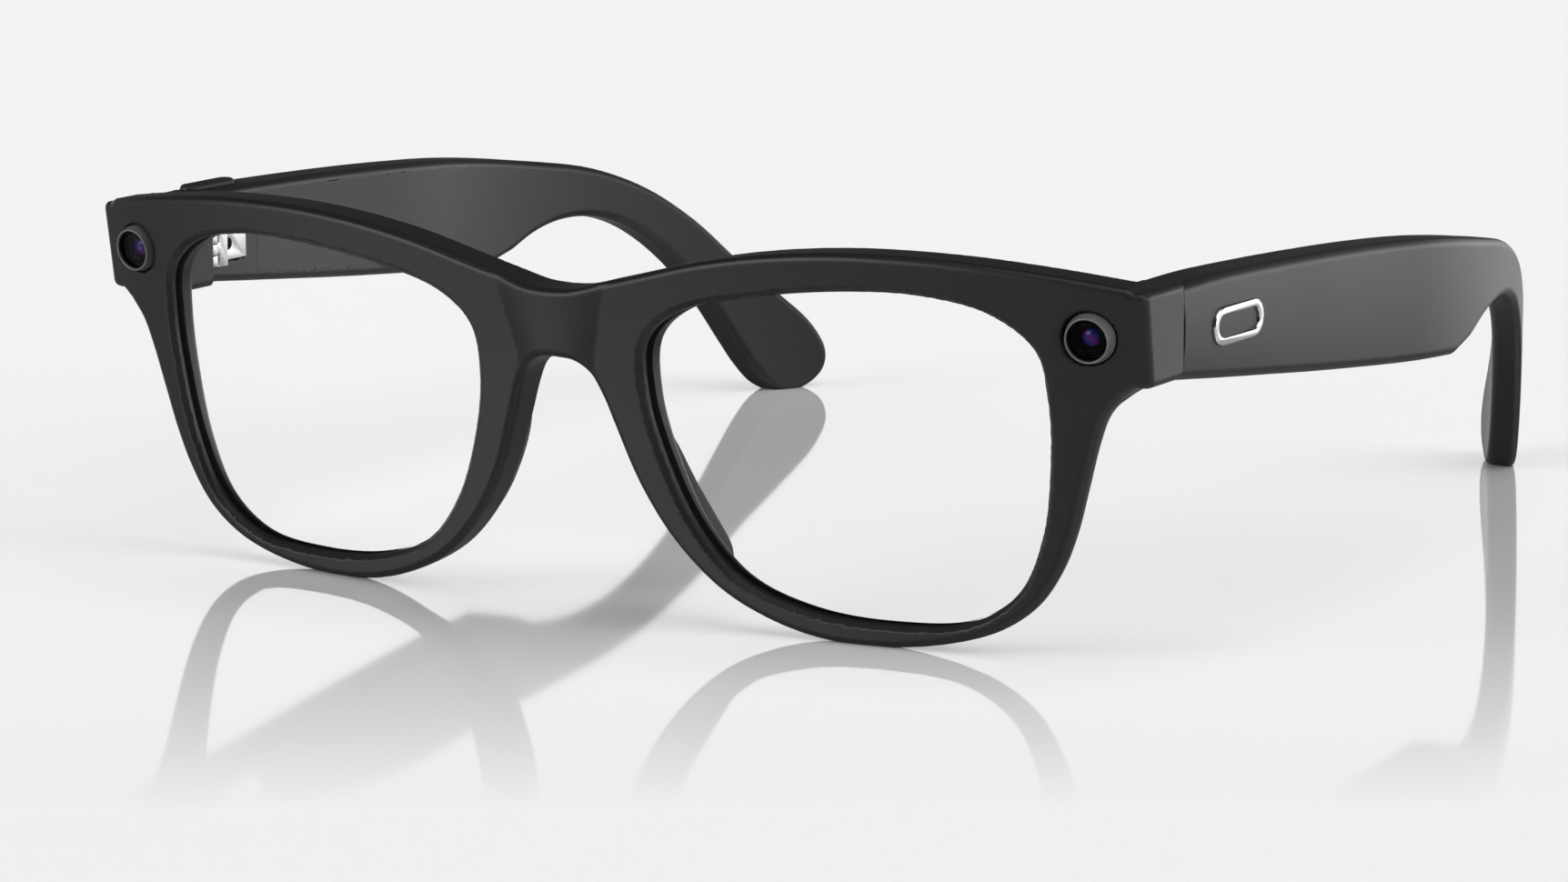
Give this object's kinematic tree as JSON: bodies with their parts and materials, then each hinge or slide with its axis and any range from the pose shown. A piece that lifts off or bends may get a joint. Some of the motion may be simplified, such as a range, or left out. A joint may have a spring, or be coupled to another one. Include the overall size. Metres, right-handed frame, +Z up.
{
  "type": "smart glasses",
  "caption": "Smart glasses with a bold full-rim front, clear lenses, a camera in each end piece, folding wide temples with ear hooks, a shutter button and a power slider.",
  "frame": {"origin": "centre of the overall box, at the table plane that the rims and the temple tips stand on", "axes": "+Z up, the wearer looks along -Y, +X is the wearer's left"},
  "size_m": [0.1476, 0.1481, 0.0455],
  "materials": {
    "frame": "fine satin matt black",
    "pad": "smooth satin black",
    "clear_lens": "polished clear",
    "dark_glass": "polished, purple and blue coating",
    "bezel": "grey satin",
    "barrel": "matt black",
    "chip": "dark laminate",
    "steel": "fine brushed",
    "cell": "foil",
    "board": "solder mask",
    "flex": "film",
    "gold": "polished plate",
    "badge": "polished",
    "grille": "fine mesh, dark"
  },
  "bodies": {
    "front": {"front_frame": "frame", "brow_flex": "flex", "charge_contact_left": "gold", "charge_contact_right": "gold", "lens_left": "clear_lens", "lens_right": "clear_lens", "nose_pad_left": "pad", "nose_pad_right": "pad", "end_cover_left": "frame", "end_cover_right": "frame", "hinge_front_leaf_left": "steel", "hinge_front_leaf_right": "steel", "hinge_screw_left": "steel", "hinge_screw_right": "steel", "leaf_screw_1_left": "steel", "leaf_screw_1_right": "steel", "leaf_screw_2_left": "steel", "leaf_screw_2_right": "steel", "camera_bezel_left": "bezel", "camera_bezel_right": "bezel", "camera_cover_glass_left": "dark_glass", "camera_cover_glass_right": "dark_glass", "camera_lens_barrel_left": "barrel", "camera_lens_barrel_right": "barrel", "camera_lens_left": "dark_glass", "camera_lens_right": "dark_glass", "camera_module_left": "chip", "camera_module_right": "chip"},
    "left_temple": {"temple_shell_left": "frame", "temple_inner_cover_left": "frame", "hinge_temple_leaf_left": "steel", "temple_badge_left": "badge", "battery_left": "cell", "main_board_left": "board", "speaker_left": "barrel", "speaker_grille_left": "grille", "microphone_left": "grille", "touch_sensor_left": "flex", "power_switch_body": "grille"},
    "right_temple": {"temple_shell_right": "frame", "temple_inner_cover_right": "frame", "hinge_temple_leaf_right": "steel", "temple_badge_right": "badge", "battery_right": "cell", "main_board_right": "board", "speaker_right": "barrel", "speaker_grille_right": "grille", "microphone_right": "grille", "touch_sensor_right": "flex", "shutter_switch": "grille"},
    "power_slider": {"power_switch_slider": "pad"},
    "shutter": {"shutter_button": "pad"}
  },
  "joints": [
    {"name": "left_temple_fold", "type": "hinge", "parent": "front", "child": "left_temple", "pos_m": [0.0636, -0.05479, 0.0375], "axis": [0, 0, 1], "range_deg": [0, 86]},
    {"name": "right_temple_fold", "type": "hinge", "parent": "front", "child": "right_temple", "pos_m": [-0.0636, -0.05479, 0.0375], "axis": [0, 0, -1], "range_deg": [0, 71]},
    {"name": "power_slide", "type": "slide", "parent": "left_temple", "child": "power_slider", "axis": [0, 1, 0], "range_m": [0, 0.002]},
    {"name": "shutter_press", "type": "slide", "parent": "right_temple", "child": "shutter", "axis": [0, 0, -1], "range_m": [0, 0.0004], "stiffness_N_per_m": 400, "springref_m": -0.0002}
  ]
}
